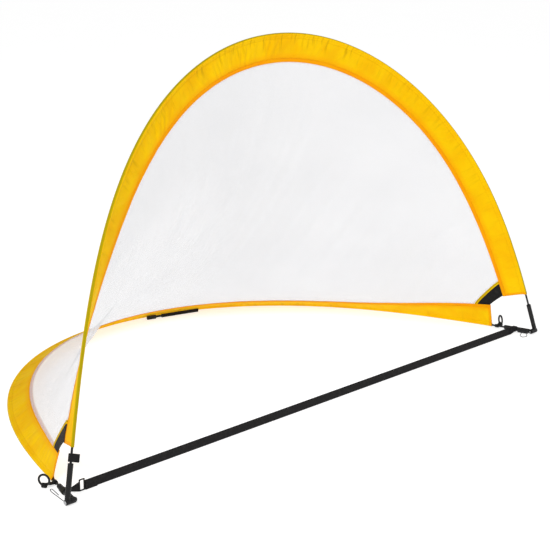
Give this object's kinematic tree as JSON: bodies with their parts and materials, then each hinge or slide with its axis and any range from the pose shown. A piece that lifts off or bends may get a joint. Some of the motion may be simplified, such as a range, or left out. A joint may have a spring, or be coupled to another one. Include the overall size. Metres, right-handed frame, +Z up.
{
  "type": "pop up goal",
  "caption": "Free-standing pop-up sports goal: two springy rod arches hinged at ground corners, with cloth bands, a net and a ground strap.",
  "frame": {"origin": "on the ground, at the middle of the goal's footprint; the hinge line is 503 mm in front of it", "axes": "+X across the goal mouth, +Y away from the mouth into the goal, +Z up"},
  "size_m": [1.8648, 1.0216, 1.0118],
  "materials": {
    "fibreglass": "smooth resin",
    "moulded": "fine moulded grain",
    "steel": "plated",
    "yellow": "woven polyester",
    "channel": "woven polyester",
    "orange": "double hem",
    "net": "fine knitted mesh",
    "webbing": "woven webbing",
    "cord": "braided cord"
  },
  "bodies": {
    "ground_frame": {"rear_rod": "fibreglass", "rear_channel": "channel", "rear_band": "yellow", "rear_hem": "orange", "net": "net", "left_rear_socket": "moulded", "left_hinge_cap": "moulded", "left_hinge_pin": "steel", "left_lashing": "cord", "left_peg_cord": "cord", "left_ring_loop": "webbing", "left_gusset": "webbing", "left_strap_link": "webbing", "left_binding": "yellow", "right_rear_socket": "moulded", "right_hinge_cap": "moulded", "right_hinge_pin": "steel", "right_lashing": "cord", "right_peg_cord": "cord", "right_ring_loop": "webbing", "right_gusset": "webbing", "right_strap_link": "webbing", "right_binding": "yellow", "ground_strap": "webbing", "strap_tail": "webbing", "strap_buckle": "moulded", "storage_buckle": "moulded"},
    "front_arch": {"front_rod": "fibreglass", "front_channel": "channel", "front_band": "yellow", "front_hem": "orange", "left_front_socket": "moulded", "right_front_socket": "moulded"},
    "left_ring": {"left_peg_ring": "moulded"},
    "right_ring": {"right_peg_ring": "moulded"},
    "leg_tab": {"rod_tab": "webbing"},
    "storage_half": {"storage_plug": "moulded", "storage_strap": "webbing"}
  },
  "joints": [
    {"name": "arch_fold", "type": "hinge", "parent": "ground_frame", "child": "front_arch", "pos_m": [0, -0.50318, 0.0098], "axis": [-1, 0, 0], "range_deg": [0, 65], "stiffness_Nm_per_rad": 14, "deforming": ["front_band", "front_hem", "rear_band", "rear_hem", "net", "left_gusset", "right_gusset", "left_binding", "right_binding"]},
    {"name": "left_ring_swing", "type": "hinge", "parent": "ground_frame", "child": "left_ring", "pos_m": [-0.90308, -0.38181, 0.007], "axis": [0.5, -0.866, 0], "range_deg": [0, 80]},
    {"name": "right_ring_swing", "type": "hinge", "parent": "ground_frame", "child": "right_ring", "pos_m": [0.90308, -0.38181, 0.007], "axis": [0.5, 0.866, 0], "range_deg": [0, 80]},
    {"name": "tab_turn", "type": "hinge", "parent": "front_arch", "child": "leg_tab", "pos_m": [-0.89656, -0.4886, 0.11069], "axis": [0.2588, 0.1365, 0.9562], "range_deg": [-40, 40]},
    {"name": "storage_slide", "type": "slide", "parent": "ground_frame", "child": "storage_half", "axis": [0.9588, -0.284, 0.0012], "range_m": [0, 0.03]}
  ]
}
